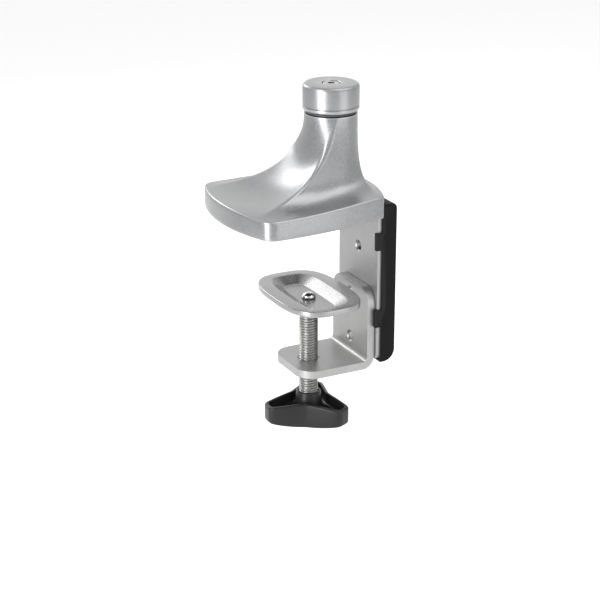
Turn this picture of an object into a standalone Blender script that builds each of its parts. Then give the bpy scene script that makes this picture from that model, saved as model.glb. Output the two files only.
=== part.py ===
"""Desk-clamp base of a monitor arm: a cast foot with its swivel column, folded steel brackets, a screw clamp
and a moulded back cover.

Frame: +Z up, metres. The origin is where the column's axis meets the desk top. -Y points over the desk,
+Y points behind it, and X runs along the desk's edge. The desk lies under the foot, in front of the upper
bracket and above the clamp plate.
"""

import math

import bmesh
import bpy
from mathutils import Matrix, Vector

MM = 0.001
GAP = 0.3  # clearance left between pieces that touch, mm

# Cast foot, mm. Three arcs make its plan outline, and round corners join them.
FOOT_FRONT = -74.2
FOOT_FRONT_RADIUS = 106.0
FOOT_HALF_WIDTH = 46.0
FOOT_SIDE_RADIUS = 280.0
FOOT_WIDEST_Y = -54.0
FOOT_REAR = 25.2
FOOT_REAR_RADIUS = 87.0
FRONT_CORNER_RADIUS = 8.5
REAR_CORNER_RADIUS = 6.0
FOOT_BOTTOM = 0.4
EDGE_ROUND = 1.5
EDGE_HEIGHT_FRONT = 13.1
EDGE_HEIGHT_CORNER = 12.1
EDGE_HEIGHT_REAR = 14.5
RIDGE_START_X = 35.0

# Column, mm.
COLUMN_RADIUS = 16.2
COLUMN_TOP = 60.0
RIDGE_END_ANGLE = math.radians(68)
BORE_RADIUS = 10.3
POCKET_RADIUS = 13.5
POCKET_TOP = 13.5

# Folded steel brackets, mm.
SHEET = 5.0
BEND_INNER_RADIUS = 3.0
DESK_EDGE_Y = 20.0
UPPER_HALF_WIDTH = 24.6
UPPER_BOTTOM = -96.5
FLANGE_BOTTOM = 2.0
FLANGE_FRONT = -36.0
LOWER_HALF_WIDTH = 22.65
LOWER_TOP = -50.2
PLATE_TOP = -97.5
PLATE_FRONT = -29.9
ADJUST_HOLES_Z = (-28.2, -58.0, -87.9)
ADJUST_HOLE_RADIUS = 3.2
DESK_EDGE_BAND = (-32.4, -49.7)  # stretch of the upper bracket's wall that meets the desk's edge
DESK_EDGE_PROUD = 0.02  # the band stands out by this, so the desk's edge bears on it alone
PIN_HOLES = (10.0, -64.7)
PIN_RADIUS = 1.6
SPINDLE_HOLE_RADIUS = 6.9
FLANGE_SCREWS = ((17.0, 8.0), (-17.0, 8.0), (17.0, -26.0), (-17.0, -26.0))

# M6 screws, mm.
SHANK_RADIUS = 2.8
TAPPED_RADIUS = 3.1
SCREW_HOLE_RADIUS = 3.2
COUNTERSINK_RADIUS = 6.2
FLAT_HEAD_RADIUS = 5.5
PAN_HEAD_RADIUS = 5.2

# Screw clamp, mm.
SPINDLE_Y = -14.9
SPINDLE_RADIUS = 5.85
SPINDLE_TOP = -62.1
SPINDLE_HEAD_BOTTOM = -139.4
HEAD_ACROSS_FLATS = 18.0
NUT_BORE_RADIUS = 6.2
NUT_FLANGE_RADIUS = 9.5
NUT_FLANGE = 4.0
RIVET_SHANK = 2.9
RIVET_HOLE = 3.3
RIVET_HEAD = 4.35
CLAMP_TOP = -52.4
CLAMP_HALF_LENGTH = 38.0
CLAMP_HALF_DEPTH = 25.0
CLAMP_SQUARENESS = 3.06
CLAMP_EDGE = 3.6
DISH_DEPTH = 4.6
DISH_SHEET = 3.0
DISH_RIM = (31.4, 16.0, 3.5)  # half length, half depth and squareness
DISH_FLOOR = (24.5, 7.7, 5.0)
DISH_UNDER_RIM = (32.4, 17.0, 3.3)
DISH_UNDER_FLOOR = (25.5, 9.8, 4.0)
KNOB_TOP = -119.4
KNOB_REACH = 28.7
KNOB_TIP_HALF = 6.0
KNOB_WAIST = 13.7
KNOB_TURN = math.radians(26)
KNOB_HEIGHT = 21.5
KNOB_BORE = 6.2

# Back cover, mm.
COVER_HALF_WIDTH = 26.1
COVER_REAR = 32.7
COVER_FRONT = 22.5
COVER_TOP = 5.2
COVER_BOTTOM = -98.5
COVER_WALL = 1.8
COVER_SIDE_WALL = 1.15
CLIP_SPANS = ((-24.0, -13.0), (-74.5, -63.2))

# Swivel at the top of the column, mm.
POST_RADIUS = 8.0
POST_TOP = 72.0
STUD_RADIUS = 5.0
LOWER_FLANGE_RADIUS = 12.4
UPPER_FLANGE_RADIUS = 15.4
WASHER_RADIUS = 11.5
WASHER_LOW = 10.9
WASHER_HIGH = 11.7
HUB_RADIUS = 17.2
HUB_BOTTOM = 62.1
HUB_TOP = 78.0
HUB_SCREW_SEAT = 75.0
GRUB_HEIGHT = 67.5


def clear_scene():
    for item in list(bpy.data.objects):
        bpy.data.objects.remove(item, do_unlink=True)


def material(name, colour, roughness, metallic):
    made = bpy.data.materials.get(name)
    if made:
        return made
    made = bpy.data.materials.new(name)
    made.use_nodes = True
    shader = made.node_tree.nodes["Principled BSDF"]
    shader.inputs["Base Color"].default_value = (*colour, 1.0)
    shader.inputs["Roughness"].default_value = roughness
    shader.inputs["Metallic"].default_value = metallic
    return made


def cast_silver():
    return material("cast_silver", (0.55, 0.56, 0.58), 0.38, 0.8)


def bracket_steel():
    return material("bracket_steel", (0.60, 0.61, 0.62), 0.34, 0.8)


def zinc():
    return material("zinc", (0.62, 0.62, 0.60), 0.30, 1.0)


def chrome():
    return material("chrome", (0.80, 0.81, 0.83), 0.10, 1.0)


def black_plastic():
    return material("black_plastic", (0.02, 0.02, 0.021), 0.45, 0.0)


def grey_polymer():
    return material("grey_polymer", (0.10, 0.10, 0.105), 0.5, 0.0)


def foam():
    return material("foam", (0.035, 0.035, 0.037), 0.9, 0.0)


def to_object(name, shape, finish, origin=(0.0, 0.0, 0.0), sharp=35):
    """Makes an object from a bmesh, with its origin at the given point, both in millimetres."""
    bmesh.ops.remove_doubles(shape, verts=shape.verts, dist=1e-5)
    bmesh.ops.recalc_face_normals(shape, faces=shape.faces)
    shape.transform(Matrix.Translation(-Vector(origin)))
    shape.transform(Matrix.Scale(MM, 4))
    data = bpy.data.meshes.new(name)
    shape.to_mesh(data)
    shape.free()
    data.shade_smooth()
    data.set_sharp_from_angle(angle=math.radians(sharp))
    data.materials.append(finish)
    made = bpy.data.objects.new(name, data)
    made.location = Vector(origin) * MM
    bpy.context.scene.collection.objects.link(made)
    return made


def skin(rows, ring=False):
    """Joins closed rows of points into a skin, capped at both ends, or joined end to start as a ring."""
    shape = bmesh.new()
    made = [[shape.verts.new(point) for point in row] for row in rows]
    pairs = list(zip(made, made[1:]))
    if ring:
        pairs.append((made[-1], made[0]))
    else:
        shape.faces.new(made[0])
        shape.faces.new(made[-1])
    for low, high in pairs:
        for i in range(len(low)):
            j = (i + 1) % len(low)
            shape.faces.new((low[i], low[j], high[j], high[i]))
    return shape


def turned(profile, segments=32, ring=False):
    """Turns a profile of (radius, z) about Z. A ring's profile is a closed loop away from the axis."""
    rows = []
    for radius, z in profile:
        turns = (math.tau * i / segments for i in range(segments))
        rows.append([(radius * math.cos(a), radius * math.sin(a), z) for a in turns])
    return skin(rows, ring=ring)


def prism(outline, low, high):
    """Extrudes a plan outline of (x, y) from one height to another."""
    return skin([[(x, y, z) for x, y in outline] for z in (low, high)])


def box(low, high):
    outline = [(low[0], low[1]), (high[0], low[1]), (high[0], high[1]), (low[0], high[1])]
    return prism(outline, low[2], high[2])


def hexagon(across_flats):
    radius = across_flats / math.sqrt(3)
    return [(radius * math.cos(math.tau * i / 6), radius * math.sin(math.tau * i / 6)) for i in range(6)]


def arc(centre, radius, start, end, count):
    """Points along an arc, from one angle to another in degrees."""
    angles = [math.radians(start + (end - start) * i / count) for i in range(count + 1)]
    return [(centre[0] + radius * math.cos(a), centre[1] + radius * math.sin(a)) for a in angles]


def moved(shape, x, y, z, turn=None):
    if turn:
        shape.transform(turn)
    shape.transform(Matrix.Translation((x, y, z)))
    return shape


ALONG_Y = Matrix.Rotation(-math.pi / 2, 4, "X")  # takes +Z to +Y


def cut(target, shape, name):
    """Subtracts a bmesh in millimetres from an object, through a hidden wire cutter."""
    apply_boolean(target, shape, name, "DIFFERENCE")


def join(target, shape, name):
    apply_boolean(target, shape, name, "UNION")


def apply_boolean(target, shape, name, operation):
    tool = to_object(f"{name}_tool", shape, target.data.materials[0])
    tool.hide_render = True
    tool.display_type = "WIRE"
    boolean = target.modifiers.new(name, "BOOLEAN")
    boolean.operation = operation
    boolean.solver = "EXACT"
    boolean.object = tool


def smooth(value):
    value = min(max(value, 0.0), 1.0)
    return value * value * (3 - 2 * value)


def mix(a, b, share):
    return a + (b - a) * share


# ---------------------------------------------------------------- cast foot


def tangent_centre(first, first_radius, second, second_radius, corner):
    """Centre of a corner arc that lies inside two larger arcs and touches both, on the +X side."""
    a = first_radius - corner
    b = second_radius - corner
    between = Vector(second) - Vector(first)
    distance = between.length
    along = (a * a - b * b + distance * distance) / (2 * distance)
    across = math.sqrt(a * a - along * along)
    unit = between / distance
    middle = Vector(first) + unit * along
    options = [middle + Vector((-unit.y, unit.x)) * side * across for side in (-1, 1)]
    return max(options, key=lambda point: point.x)


def stretch(centre, radius, start, end, count):
    """Points of an arc from one point's direction to another's, without its last point."""
    first = math.atan2(start[1] - centre[1], start[0] - centre[0])
    last = math.atan2(end[1] - centre[1], end[0] - centre[0])
    angles = [mix(first, last, i / count) for i in range(count)]
    return [(centre[0] + radius * math.cos(a), centre[1] + radius * math.sin(a)) for a in angles]


def half_outline(inset, front=8, outer=(2, 5, 6, 4, 5)):
    """The foot's plan outline at +X, from the front's middle to the rear's, shrunk by the inset."""
    front_centre = (0.0, FOOT_FRONT + FOOT_FRONT_RADIUS)
    side_centre = (FOOT_HALF_WIDTH - FOOT_SIDE_RADIUS, FOOT_WIDEST_Y)
    rear_centre = (0.0, FOOT_REAR - FOOT_REAR_RADIUS)
    one = tangent_centre(front_centre, FOOT_FRONT_RADIUS, side_centre, FOOT_SIDE_RADIUS, FRONT_CORNER_RADIUS)
    two = tangent_centre(side_centre, FOOT_SIDE_RADIUS, rear_centre, FOOT_REAR_RADIUS, REAR_CORNER_RADIUS)

    def touch(centre, corner):
        away = corner - Vector(centre)
        return corner + away.normalized()

    ridge = (RIDGE_START_X, front_centre[1] - math.sqrt(FOOT_FRONT_RADIUS**2 - RIDGE_START_X**2))
    runs = (
        (front_centre, FOOT_FRONT_RADIUS, (0.0, FOOT_FRONT), ridge, front),
        (front_centre, FOOT_FRONT_RADIUS, ridge, touch(front_centre, one), outer[0]),
        (one, FRONT_CORNER_RADIUS, touch(front_centre, one), touch(side_centre, one), outer[1]),
        (side_centre, FOOT_SIDE_RADIUS, touch(side_centre, one), touch(side_centre, two), outer[2]),
        (two, REAR_CORNER_RADIUS, touch(side_centre, two), touch(rear_centre, two), outer[3]),
        (rear_centre, FOOT_REAR_RADIUS, touch(rear_centre, two), (0.0, FOOT_REAR), outer[4]),
    )
    points = []
    for centre, radius, start, end, count in runs:
        points += stretch(centre, radius - inset, start, end, count)
    return points + [(0.0, FOOT_REAR - inset)]


def both_sides(half):
    """Closes a half row, whose first and last points lie on X = 0, with its mirror image."""
    return half + [(-p[0], *p[1:]) for p in reversed(half[1:-1])]


def edge_height(x, y):
    """Height of the foot's top edge: highest at the rear, lowest at the front corners."""
    front = mix(EDGE_HEIGHT_FRONT, EDGE_HEIGHT_CORNER, smooth(abs(x) / FOOT_HALF_WIDTH))
    return mix(front, EDGE_HEIGHT_REAR, smooth((y - FOOT_FRONT - 15) / (FOOT_REAR - FOOT_FRONT - 15)))


def bezier(points, t):
    """Point of a Bezier curve of any degree, by mixing its control points pair by pair."""
    points = [Vector(p) for p in points]
    while len(points) > 1:
        points = [a.lerp(b, t) for a, b in zip(points, points[1:])]
    return points[0]


def scoop_controls(edge, share):
    """Control points of the front scoop's rise, from its middle (share 0) to the ridge (share 1)."""
    dip = share * share
    angle = RIDGE_END_ANGLE * share
    return (
        edge,
        (28.0 * share, mix(-46.0, -48.0, dip), mix(12.5, 16.0, dip)),
        (20.5 * share, mix(-20.0, -26.0, dip), mix(14.5, 19.0, dip)),
        (21.5 * share, mix(-15.0, -16.0, dip), mix(36.0, 36.5, dip)),
        (COLUMN_RADIUS * math.sin(angle), -COLUMN_RADIUS * math.cos(angle), COLUMN_TOP),
    )


def flare_controls(edge, share):
    """Control points of the flare round the side and rear, from the ridge (share 0) to the rear (share 1)."""
    angle = mix(RIDGE_END_ANGLE, math.pi, share)
    x = COLUMN_RADIUS * math.sin(angle)
    y = -COLUMN_RADIUS * math.cos(angle)
    flare = (
        edge,
        (mix(edge[0], x, 0.5), mix(edge[1], y, 0.5), edge[2] + 0.8),
        (x * 1.06, y * 1.06, edge[2] + 1.5),
        (x, y, 33.0),
        (x, y, COLUMN_TOP),
    )
    ridge = scoop_controls(edge, 1.0)
    fade = smooth(share / 0.3)
    return [Vector(a).lerp(Vector(b), fade) for a, b in zip(ridge, flare)]


def foot_rows(rises, front=8, outer=(2, 5, 6, 4, 5)):
    """Rows of the casting's outer skin, from its underside up its wall and flare to the column's top."""

    def level(inset, height):
        half = [(x, y, height(x, y)) for x, y in half_outline(inset, front, outer)]
        return both_sides(half)

    rows = [
        level(0.6, lambda x, y: FOOT_BOTTOM),
        level(0.0, lambda x, y: FOOT_BOTTOM + 0.6),
        level(0.0, lambda x, y: edge_height(x, y) - EDGE_ROUND),
        level(EDGE_ROUND * 0.29, lambda x, y: edge_height(x, y) - EDGE_ROUND * 0.29),
    ]
    edge = [(x, y, edge_height(x, y)) for x, y in half_outline(EDGE_ROUND, front, outer)]
    last = len(edge) - 1
    for t in rises:
        half = []
        for i, point in enumerate(edge):
            if i <= front:
                controls = scoop_controls(point, i / front)
            else:
                controls = flare_controls(point, (i - front) / (last - front))
            half.append(tuple(bezier(controls, t)))
        rows.append(both_sides(half))
    return rows


def make_base_casting():
    rises = [i / 10 for i in range(11)]
    casting = to_object("base_casting", skin(foot_rows(rises)), cast_silver(), sharp=28)
    pad = both_sides(half_outline(4.2))
    cut(casting, prism(pad, -5.0, FLANGE_BOTTOM), "pad_recess")
    bend = (DESK_EDGE_Y - BEND_INNER_RADIUS, FLANGE_BOTTOM - BEND_INNER_RADIUS)
    profile = [(FLANGE_FRONT - 0.5, -6.0), (FLANGE_FRONT - 0.5, FLANGE_BOTTOM + SHEET + GAP)]
    profile += arc(bend, BEND_INNER_RADIUS + SHEET + GAP, 90, 0, 8)
    profile.append((DESK_EDGE_Y + SHEET + GAP, -6.0))
    cut(casting, prism_x(profile, UPPER_HALF_WIDTH + GAP), "bracket_recess")
    half = UPPER_HALF_WIDTH + GAP
    cut(casting, box((-half, DESK_EDGE_Y, -6.0), (half, FOOT_REAR + 5, COVER_TOP + 0.4)), "cover_notch")
    bore = turned(
        [
            (POCKET_RADIUS, FLANGE_BOTTOM + SHEET - 1),
            (POCKET_RADIUS, POCKET_TOP),
            (BORE_RADIUS, POCKET_TOP),
            (BORE_RADIUS, COLUMN_TOP + 5),
        ]
    )
    cut(casting, bore, "post_bore")
    for number, (x, y) in enumerate(FLANGE_SCREWS, 1):
        hole = turned([(TAPPED_RADIUS, FLANGE_BOTTOM + SHEET - 1), (TAPPED_RADIUS, 15.4)], 16)
        cut(casting, moved(hole, x, y, 0), f"screw_hole_{number}")
    return casting


def make_foot_pad():
    pad = to_object("foot_pad", prism(both_sides(half_outline(4.6)), 0.0, FLANGE_BOTTOM - GAP), foam())
    low = DESK_EDGE_Y - BEND_INNER_RADIUS - 0.5
    cut(pad, box((-60, low, -5), (60, 60, 10)), "pad_rear_edge")
    return pad


# ---------------------------------------------------------------- folded brackets


def prism_x(profile, half_width):
    """Extrudes a profile of (y, z) across X, to the same distance on both sides."""
    return skin([[(x, y, z) for y, z in profile] for x in (-half_width, half_width)])


def folded_strip(path, half_widths):
    """A folded sheet. The path lists (outer, inner) pairs of points (y, z), with a half width at each."""
    rows = []
    for (outer, inner), half in zip(path, half_widths):
        rows.append([(-half, *outer), (half, *outer), (half, *inner), (-half, *inner)])
    return skin(rows)


def bend_pairs(centre, start, end, steps=7):
    outer = arc(centre, BEND_INNER_RADIUS + SHEET, start, end, steps)
    inner = arc(centre, BEND_INNER_RADIUS, start, end, steps)
    return list(zip(outer, inner))


def rounded_end(half, radius, steps=6):
    """(distance from the end, half width) pairs along a sheet's end with two round corners."""
    pairs = []
    for i in range(steps + 1):
        a = math.radians(90 * i / steps)
        pairs.append((radius * (1 - math.cos(a)), half - radius + radius * math.sin(a)))
    return pairs


def make_upper_bracket():
    top = FLANGE_BOTTOM + SHEET
    rear = DESK_EDGE_Y + SHEET
    path = []
    widths = []
    for reach, half in rounded_end(UPPER_HALF_WIDTH, 6.0):
        path.append(((FLANGE_FRONT + reach, top), (FLANGE_FRONT + reach, FLANGE_BOTTOM)))
        widths.append(half)
    centre = (DESK_EDGE_Y - BEND_INNER_RADIUS, FLANGE_BOTTOM - BEND_INNER_RADIUS)
    fold = bend_pairs(centre, 90, 0)
    high, low = DESK_EDGE_BAND
    for z, proud in ((high + 0.3, 0.0), (high, DESK_EDGE_PROUD), (low, DESK_EDGE_PROUD), (low - 0.3, 0.0)):
        fold.append(((rear, z), (DESK_EDGE_Y - proud, z)))
    path += fold
    widths += [UPPER_HALF_WIDTH] * len(fold)
    for reach, half in reversed(rounded_end(UPPER_HALF_WIDTH, 3.0, 3)):
        path.append(((rear, UPPER_BOTTOM + reach), (DESK_EDGE_Y, UPPER_BOTTOM + reach)))
        widths.append(half)
    bracket = to_object("upper_bracket", folded_strip(path, widths), bracket_steel())
    for number, z in enumerate(ADJUST_HOLES_Z, 1):
        hole = turned([(ADJUST_HOLE_RADIUS, -8.0), (ADJUST_HOLE_RADIUS, 8.0)], 20)
        cut(bracket, moved(hole, 0, DESK_EDGE_Y + 2, z, ALONG_Y), f"upper_adjust_hole_{number}")
    countersink = [
        (COUNTERSINK_RADIUS, FLANGE_BOTTOM - 1),
        (COUNTERSINK_RADIUS, FLANGE_BOTTOM + 0.3),
        (SCREW_HOLE_RADIUS, FLANGE_BOTTOM + 3.2),
        (SCREW_HOLE_RADIUS, top + 2),
    ]
    for number, (x, y) in enumerate(FLANGE_SCREWS, 1):
        cut(bracket, moved(turned(countersink, 20), x, y, 0), f"countersink_{number}")
    return bracket


def make_lower_bracket():
    rear = DESK_EDGE_Y - GAP
    front = rear - SHEET
    plate_bottom = PLATE_TOP - SHEET
    path = []
    widths = []
    for reach, half in rounded_end(LOWER_HALF_WIDTH, 10.0):
        path.append(((rear, LOWER_TOP - reach), (front, LOWER_TOP - reach)))
        widths.append(half)
    centre = (front - BEND_INNER_RADIUS, PLATE_TOP + BEND_INNER_RADIUS)
    fold = bend_pairs(centre, 0, -90)
    path += fold
    widths += [LOWER_HALF_WIDTH] * len(fold)
    for reach, half in reversed(rounded_end(LOWER_HALF_WIDTH, 12.0)):
        path.append(((PLATE_FRONT + reach, plate_bottom), (PLATE_FRONT + reach, PLATE_TOP)))
        widths.append(half)
    bracket = to_object("lower_bracket", folded_strip(path, widths), bracket_steel())
    for number, z in enumerate(ADJUST_HOLES_Z[1:], 1):
        hole = turned([(ADJUST_HOLE_RADIUS, -8.0), (ADJUST_HOLE_RADIUS, 8.0)], 20)
        cut(bracket, moved(hole, 0, front + 2, z, ALONG_Y), f"lower_adjust_hole_{number}")
    for side in (-1, 1):
        hole = turned([(PIN_RADIUS, -8.0), (PIN_RADIUS, 8.0)], 12)
        hole = moved(hole, side * PIN_HOLES[0], front + 2, PIN_HOLES[1], ALONG_Y)
        cut(bracket, hole, f"pin_hole_{side + 2}")
    bore = turned([(SPINDLE_HOLE_RADIUS, -10.0), (SPINDLE_HOLE_RADIUS, 10.0)], 24)
    cut(bracket, moved(bore, 0, SPINDLE_Y, PLATE_TOP - 3), "spindle_hole")
    return bracket


def make_flange_screws():
    for number, (x, y) in enumerate(FLANGE_SCREWS, 1):
        low = FLANGE_BOTTOM + 0.4
        screw = turned([(FLAT_HEAD_RADIUS, low), (SHANK_RADIUS, low + 2.8), (SHANK_RADIUS, 14.9)], 20)
        to_object(f"flange_screw_{number}", moved(screw, x, y, 0), zinc(), (x, y, low))


def make_height_screws():
    head = DESK_EDGE_Y + SHEET + GAP
    profile = [(SHANK_RADIUS, -9.9), (SHANK_RADIUS, 0.0)]
    profile += [(PAN_HEAD_RADIUS, 0.0), (PAN_HEAD_RADIUS, 2.2), (PAN_HEAD_RADIUS - 1, 3.2)]
    for name, z in zip(("upper", "lower"), ADJUST_HOLES_Z[1:]):
        screw = moved(turned(profile, 20), 0, head, z, ALONG_Y)
        to_object(f"height_screw_{name}", screw, zinc(), (0, head, z))


# ---------------------------------------------------------------- back cover


def cover_profile(inset, wall=0.0):
    """Side view of the cover as (y, z). Its rear corners are round, and a wall carries it past the front."""
    rear = COVER_REAR - inset
    top = COVER_TOP - inset
    bottom = COVER_BOTTOM + inset
    front = COVER_FRONT - wall
    points = [(front, bottom), (front, top)]
    points += arc((rear - 3.5 + inset, top - 3.5 + inset), 3.5 - inset, 90, 0, 4)
    points += arc((rear - 8.0 + inset, bottom + 8.0 - inset), 8.0 - inset, 0, -90, 6)
    return points


def make_back_cover():
    rows = []
    for x, inset in ((-1, 1.0), (-1, 0.3), (-1, 0.0), (1, 0.0), (1, 0.3), (1, 1.0)):
        side = {1.0: 0.0, 0.3: 0.4, 0.0: 1.2}[inset]
        rows.append([(x * (COVER_HALF_WIDTH - side), y, z) for y, z in cover_profile(inset)])
    cover = to_object("back_cover", skin(rows), black_plastic(), sharp=40)
    inner = prism_x(cover_profile(COVER_WALL, 6.0), COVER_HALF_WIDTH - COVER_SIDE_WALL)
    cut(cover, inner, "cover_hollow")
    half = COVER_HALF_WIDTH - COVER_SIDE_WALL
    cut(cover, box((-half, 0, 2), (half, DESK_EDGE_Y + SHEET - 0.6, 20)), "top_wall_clearance")
    for side in (-1, 1):
        outer = side * COVER_HALF_WIDTH
        inner_face = side * (COVER_HALF_WIDTH - COVER_SIDE_WALL)
        barb = side * (LOWER_HALF_WIDTH + 0.4)
        tip = DESK_EDGE_Y - 1.7
        clip = [
            (inner_face, COVER_FRONT + 3.0),
            (inner_face, DESK_EDGE_Y - GAP - 0.05),
            (barb, DESK_EDGE_Y - GAP - 0.05),
            (barb, tip + 0.5),
            (barb + side * 0.5, tip),
            (outer - side * 0.4, tip),
            (outer, tip + 0.4),
            (outer, COVER_FRONT + 3.0),
        ]
        for number, (low, high) in enumerate(CLIP_SPANS, 1):
            join(cover, prism(clip, low, high), f"clip_{number}_{side + 2}")
    return cover


# ---------------------------------------------------------------- screw clamp


def oval(half_length, half_depth, power, z, count=48):
    """A rounded oval, from an ellipse at power 2 towards a rectangle as the power grows."""
    points = []
    for i in range(count):
        a = math.tau * i / count
        c, s = math.cos(a), math.sin(a)
        x = math.copysign(abs(c) ** (2 / power) * half_length, c)
        y = math.copysign(abs(s) ** (2 / power) * half_depth, s)
        points.append((x, SPINDLE_Y + y, z))
    return points


def make_clamp_plate():
    length, depth, power = CLAMP_HALF_LENGTH, CLAMP_HALF_DEPTH, CLAMP_SQUARENESS
    floor = CLAMP_TOP - DISH_DEPTH
    rows = [
        oval(length - 0.8, depth - 0.8, power, CLAMP_TOP),
        oval(length, depth, power, CLAMP_TOP - 0.8),
        oval(length, depth, power, CLAMP_TOP - CLAMP_EDGE + 0.6),
        oval(length - 0.6, depth - 0.6, power, CLAMP_TOP - CLAMP_EDGE),
        oval(*DISH_UNDER_RIM, CLAMP_TOP - CLAMP_EDGE),
        oval(*DISH_UNDER_FLOOR, floor - DISH_SHEET),
        oval(RIVET_HOLE, RIVET_HOLE, 2.0, floor - DISH_SHEET),
        oval(RIVET_HOLE, RIVET_HOLE, 2.0, floor),
        oval(*DISH_FLOOR, floor),
        oval(*DISH_RIM, CLAMP_TOP),
    ]
    return to_object("clamp_plate", skin(rows, ring=True), bracket_steel(), (0, SPINDLE_Y, CLAMP_TOP))


def make_plate_rivet():
    floor = CLAMP_TOP - DISH_DEPTH + GAP
    profile = [(RIVET_SHANK, -72.0), (RIVET_SHANK, floor), (RIVET_HEAD, floor)]
    for a in (0.0, 0.35, 0.7, 1.05, 1.35):
        profile.append((RIVET_HEAD * math.cos(a), floor + 0.6 + 2.6 * math.sin(a)))
    rivet = moved(turned(profile, 28), 0, SPINDLE_Y, 0)
    return to_object("plate_rivet", rivet, chrome(), (0, SPINDLE_Y, floor))


def make_thrust_washer():
    high = CLAMP_TOP - DISH_DEPTH - DISH_SHEET - GAP
    low = SPINDLE_TOP + GAP
    washer = turned([(9.0, low), (9.0, high), (RIVET_HOLE, high), (RIVET_HOLE, low)], 32, ring=True)
    return to_object("thrust_washer", moved(washer, 0, SPINDLE_Y, 0), grey_polymer(), (0, SPINDLE_Y, low))


def make_spindle():
    head = SPINDLE_HEAD_BOTTOM
    profile = [(SPINDLE_RADIUS, head + 6.0), (SPINDLE_RADIUS, SPINDLE_TOP - 0.8), (5.0, SPINDLE_TOP)]
    rod = moved(turned(profile, 32), 0, SPINDLE_Y, 0)
    spindle = to_object("spindle", rod, zinc(), (0, SPINDLE_Y, SPINDLE_TOP))
    hex_head = prism(hexagon(HEAD_ACROSS_FLATS), head, head + 7.5)
    join(spindle, moved(hex_head, 0, SPINDLE_Y, 0), "hex_head")
    socket = turned([(3.2, -72.4), (3.2, SPINDLE_TOP + 2)], 24)
    cut(spindle, moved(socket, 0, SPINDLE_Y, 0), "rivet_socket")
    return spindle


def make_spindle_nut():
    """Clinch nut pressed into the lower bracket's plate from below."""
    low = PLATE_TOP - SHEET - NUT_FLANGE
    flange = PLATE_TOP - SHEET - GAP
    sleeve = SPINDLE_HOLE_RADIUS - GAP
    profile = [
        (NUT_BORE_RADIUS, low),
        (NUT_FLANGE_RADIUS, low),
        (NUT_FLANGE_RADIUS, flange),
        (sleeve, flange),
        (sleeve, PLATE_TOP - 0.3),
        (NUT_BORE_RADIUS, PLATE_TOP - 0.3),
    ]
    nut = moved(turned(profile, 32, ring=True), 0, SPINDLE_Y, 0)
    return to_object("spindle_nut", nut, zinc(), (0, SPINDLE_Y, low))


def knob_radius(angle, inset):
    """Distance from the knob's axis to its three-armed outline, shrunk by the inset."""
    sector = math.radians(120)
    off = abs((angle + sector / 2) % sector - sector / 2)
    waist = math.radians(60)
    soft = math.radians(9)
    off = waist - math.sqrt((waist - off) ** 2 + soft**2) + soft * (1 - off / waist) * 0.2
    end = (KNOB_REACH - inset) / max(math.cos(off), 0.2)
    waist_x, waist_y = KNOB_WAIST * math.cos(waist), KNOB_WAIST * math.sin(waist)
    run = Vector((KNOB_REACH - waist_x, KNOB_TIP_HALF - waist_y))
    normal = Vector((-run.y, run.x)).normalized()
    offset = normal.dot(Vector((KNOB_REACH, KNOB_TIP_HALF))) - inset
    side = offset / max(normal.dot(Vector((math.cos(off), math.sin(off)))), 0.05)
    power = 14
    return (end**-power + side**-power) ** (-1 / power)


def knob_row(inset, height, count=60):
    """A row round the knob at an inset, with its height given as a function of the radius."""
    row = []
    for i in range(count):
        a = math.tau * i / count
        r = knob_radius(a, inset)
        row.append((r * math.cos(a + KNOB_TURN), SPINDLE_Y + r * math.sin(a + KNOB_TURN), height(r)))
    return row


def knob_circle(radius, z, count=60):
    turns = (math.tau * i / count + KNOB_TURN for i in range(count))
    return [(radius * math.cos(a), SPINDLE_Y + radius * math.sin(a), z) for a in turns]


def make_knob():
    bottom = KNOB_TOP - KNOB_HEIGHT

    def under(r):
        return bottom + 4.3 * (r / KNOB_REACH) ** 2

    def rim(r):
        return KNOB_TOP - 4.6 - 1.7 * (r - KNOB_WAIST) / (KNOB_REACH - KNOB_WAIST)

    rows = [
        knob_row(1.2, under),
        knob_row(0.0, lambda r: under(r) + 1.5),
        knob_row(0.0, lambda r: rim(r) - 0.8),
        knob_row(0.7, rim),
        knob_row(1.9, rim),
        knob_row(2.6, lambda r: rim(r) - 6.5),
        knob_circle(8.9, KNOB_TOP - 11.0),
        knob_circle(7.8, KNOB_TOP - 0.6),
        knob_circle(7.2, KNOB_TOP),
        knob_circle(KNOB_BORE, KNOB_TOP),
        knob_circle(KNOB_BORE, bottom),
    ]
    knob = to_object("knob", skin(rows, ring=True), black_plastic(), (0, SPINDLE_Y, KNOB_TOP))
    pocket = prism(hexagon(HEAD_ACROSS_FLATS + 0.7), bottom - 3, bottom + 9.6)
    cut(knob, moved(pocket, 0, SPINDLE_Y, 0), "hex_pocket")
    return knob


# ---------------------------------------------------------------- column swivel


def make_bushes():
    inner = POST_RADIUS + GAP
    sleeve = BORE_RADIUS - GAP
    low = POCKET_TOP - 1.5
    high = POCKET_TOP - GAP
    profile = [(inner, low), (LOWER_FLANGE_RADIUS, low), (LOWER_FLANGE_RADIUS, high)]
    profile += [(sleeve, high), (sleeve, 28), (inner, 28)]
    to_object("pivot_bush_lower", turned(profile, 32, ring=True), grey_polymer(), (0, 0, low))
    seat = COLUMN_TOP + GAP
    high = HUB_BOTTOM - GAP
    profile = [(inner, 45), (sleeve, 45), (sleeve, seat)]
    profile += [(UPPER_FLANGE_RADIUS, seat), (UPPER_FLANGE_RADIUS, high), (inner, high)]
    to_object("pivot_bush_upper", turned(profile, 32, ring=True), grey_polymer(), (0, 0, seat))


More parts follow.
